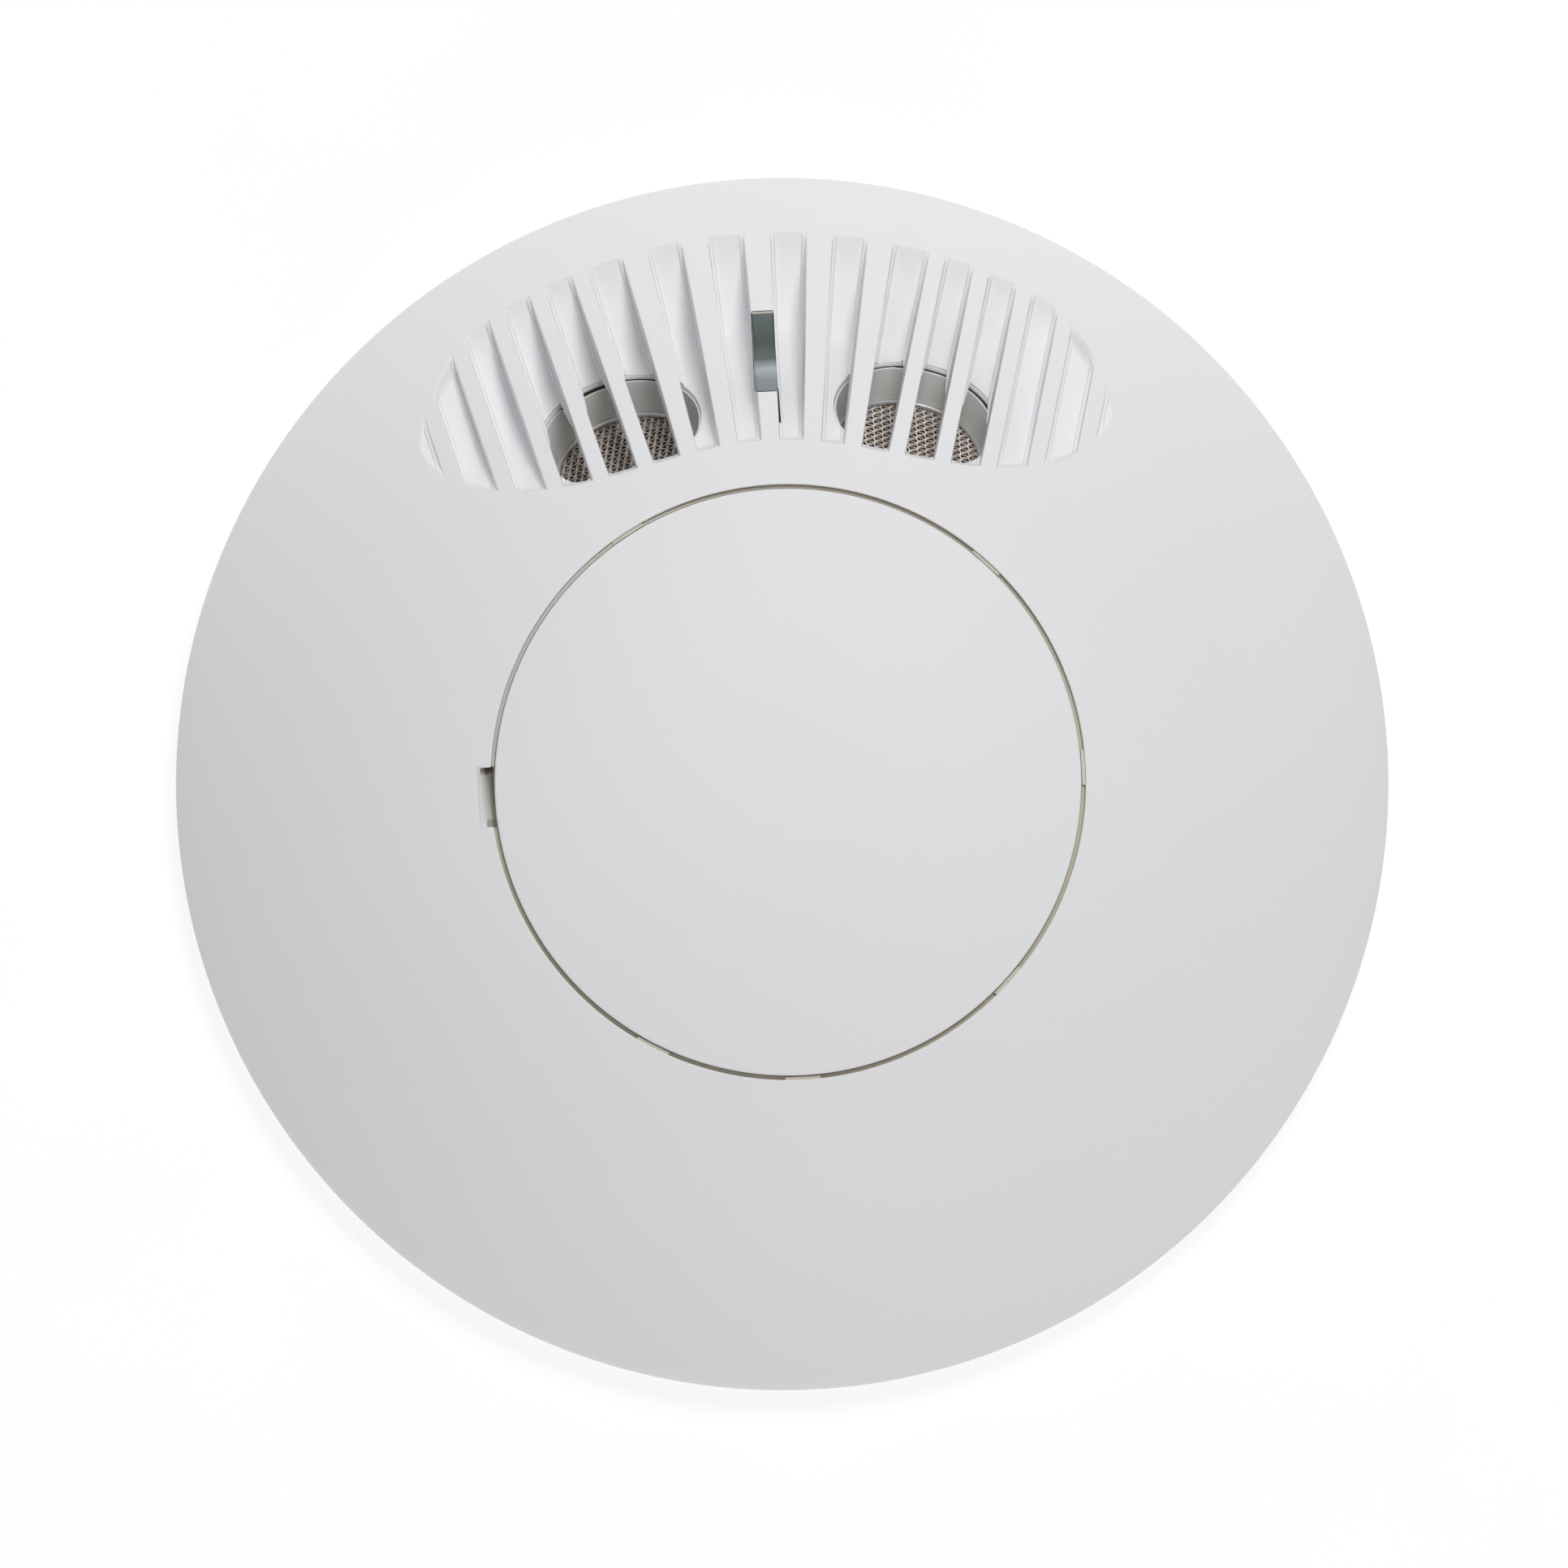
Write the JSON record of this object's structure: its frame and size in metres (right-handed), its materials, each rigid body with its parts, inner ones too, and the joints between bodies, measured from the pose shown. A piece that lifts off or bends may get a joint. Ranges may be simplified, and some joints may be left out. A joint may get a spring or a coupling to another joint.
{
  "type": "ceiling occupancy sensor",
  "caption": "Round white ceiling sensor head: a dome with a ribbed scoop over ultrasonic transducers, a snap-off centre cover over its adjustments, and a twist-lock mounting base.",
  "frame": {"origin": "centre of the mounting base's back face, which lies against the ceiling", "axes": "+Z out of the dome towards the room, +Y from the centre towards the ribbed scoop, +X to the right as seen from the room with the scoop at the top"},
  "size_m": [0.1142, 0.1142, 0.034],
  "materials": {
    "white_plastic": "fine matt moulded",
    "grey_elastomer": "smooth satin",
    "black_plastic": "matt moulded",
    "smoked_lens": "polished",
    "lamp_resin": "clear resin",
    "aluminium": "satin spun",
    "wire_mesh": "woven wire",
    "steel": "bright zinc",
    "ceramic": "matt fired",
    "board_green": "solder mask",
    "relay_blue": "moulded",
    "terminal_green": "moulded",
    "switch_red": "moulded"
  },
  "bodies": {
    "base": {"mounting_base": "white_plastic"},
    "head": {"front_housing": "white_plastic", "rear_cover": "white_plastic", "housing_screw_1": "steel", "housing_screw_2": "steel", "housing_screw_3": "steel", "board_screw_1": "steel", "board_screw_2": "steel", "crystal": "steel", "terminal_screw_1": "steel", "terminal_screw_2": "steel", "terminal_screw_3": "steel", "terminal_screw_4": "steel", "terminal_screw_5": "steel", "transmitter_sleeve": "grey_elastomer", "transmitter_can": "aluminium", "transmitter_mesh_ring": "aluminium", "transmitter_cone": "aluminium", "transmitter_mesh": "wire_mesh", "transmitter_bender": "ceramic", "transmitter_pin_base": "black_plastic", "receiver_sleeve": "grey_elastomer", "receiver_can": "aluminium", "receiver_mesh_ring": "aluminium", "receiver_cone": "aluminium", "receiver_mesh": "wire_mesh", "receiver_bender": "ceramic", "receiver_pin_base": "black_plastic", "light_pipe": "smoked_lens", "indicator_lamp": "lamp_resin", "main_board": "board_green", "control_board": "board_green", "board_header": "black_plastic", "reservoir_capacitor": "black_plastic", "filter_capacitor": "black_plastic", "choke": "black_plastic", "voltage_regulator": "black_plastic", "microcontroller": "black_plastic", "load_relay": "relay_blue", "sensitivity_trimmer": "relay_blue", "time_delay_trimmer": "relay_blue", "terminal_block": "terminal_green", "switch_bank": "switch_red"},
    "cover": {"centre_cover": "white_plastic"},
    "sensitivity_dial": {"sensitivity_dial": "white_plastic"},
    "time_delay_dial": {"time_delay_dial": "white_plastic"},
    "switch_slider_1": {"switch_slider_1": "white_plastic"},
    "switch_slider_2": {"switch_slider_2": "white_plastic"},
    "switch_slider_3": {"switch_slider_3": "white_plastic"},
    "switch_slider_4": {"switch_slider_4": "white_plastic"},
    "switch_slider_5": {"switch_slider_5": "white_plastic"},
    "switch_slider_6": {"switch_slider_6": "white_plastic"},
    "switch_slider_7": {"switch_slider_7": "white_plastic"},
    "switch_slider_8": {"switch_slider_8": "white_plastic"}
  },
  "joints": [
    {"name": "head_twist", "type": "hinge", "parent": "base", "child": "head", "pos_m": [0, 0, 0], "axis": [0, 0, 1], "range_deg": [0, 15]},
    {"name": "cover_lift", "type": "slide", "parent": "head", "child": "cover", "axis": [0, 0, 1], "range_m": [0, 0.03]},
    {"name": "sensitivity_turn", "type": "hinge", "parent": "head", "child": "sensitivity_dial", "pos_m": [-0.0075, 0.007, 0.0237], "axis": [0, 0, 1], "range_deg": [-135, 135]},
    {"name": "time_delay_turn", "type": "hinge", "parent": "head", "child": "time_delay_dial", "pos_m": [0.0075, 0.007, 0.0237], "axis": [0, 0, 1], "range_deg": [-135, 135]},
    {"name": "switch_1", "type": "slide", "parent": "head", "child": "switch_slider_1", "axis": [0, 1, 0], "range_m": [0, 0.0016]},
    {"name": "switch_2", "type": "slide", "parent": "head", "child": "switch_slider_2", "axis": [0, 1, 0], "range_m": [0, 0.0016]},
    {"name": "switch_3", "type": "slide", "parent": "head", "child": "switch_slider_3", "axis": [0, 1, 0], "range_m": [0, 0.0016]},
    {"name": "switch_4", "type": "slide", "parent": "head", "child": "switch_slider_4", "axis": [0, 1, 0], "range_m": [0, 0.0016]},
    {"name": "switch_5", "type": "slide", "parent": "head", "child": "switch_slider_5", "axis": [0, 1, 0], "range_m": [0, 0.0016]},
    {"name": "switch_6", "type": "slide", "parent": "head", "child": "switch_slider_6", "axis": [0, 1, 0], "range_m": [0, 0.0016]},
    {"name": "switch_7", "type": "slide", "parent": "head", "child": "switch_slider_7", "axis": [0, 1, 0], "range_m": [0, 0.0016]},
    {"name": "switch_8", "type": "slide", "parent": "head", "child": "switch_slider_8", "axis": [0, 1, 0], "range_m": [0, 0.0016]}
  ]
}
